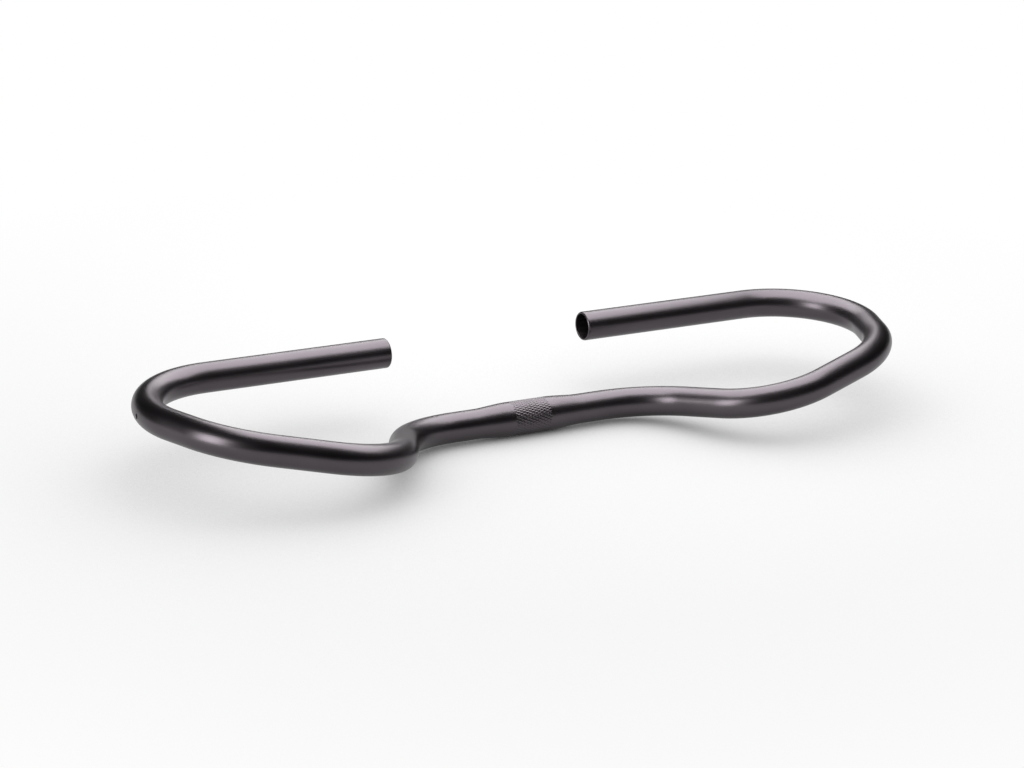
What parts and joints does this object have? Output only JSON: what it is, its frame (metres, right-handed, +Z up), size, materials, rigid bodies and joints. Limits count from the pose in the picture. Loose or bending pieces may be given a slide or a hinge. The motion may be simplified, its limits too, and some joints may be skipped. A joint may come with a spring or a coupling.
{
  "type": "trekking handlebar",
  "caption": "Bent aluminium tube handlebar: a bulged clamp section for the stem in the middle, arms swept into open side loops, and level grips whose open ends face each other.",
  "frame": {"origin": "middle of the clamp section, on the tube's centre line", "axes": "+X along the clamp section to the right arm, -Y to the front that the arms sweep out to, +Y to the grips, +Z up, square to the level loops"},
  "size_m": [0.6056, 0.1796, 0.0639],
  "materials": {
    "anodised_tube": "satin black anodised, finely blasted"
  },
  "bodies": {
    "root": {"handlebar": "anodised_tube"}
  },
  "joints": []
}
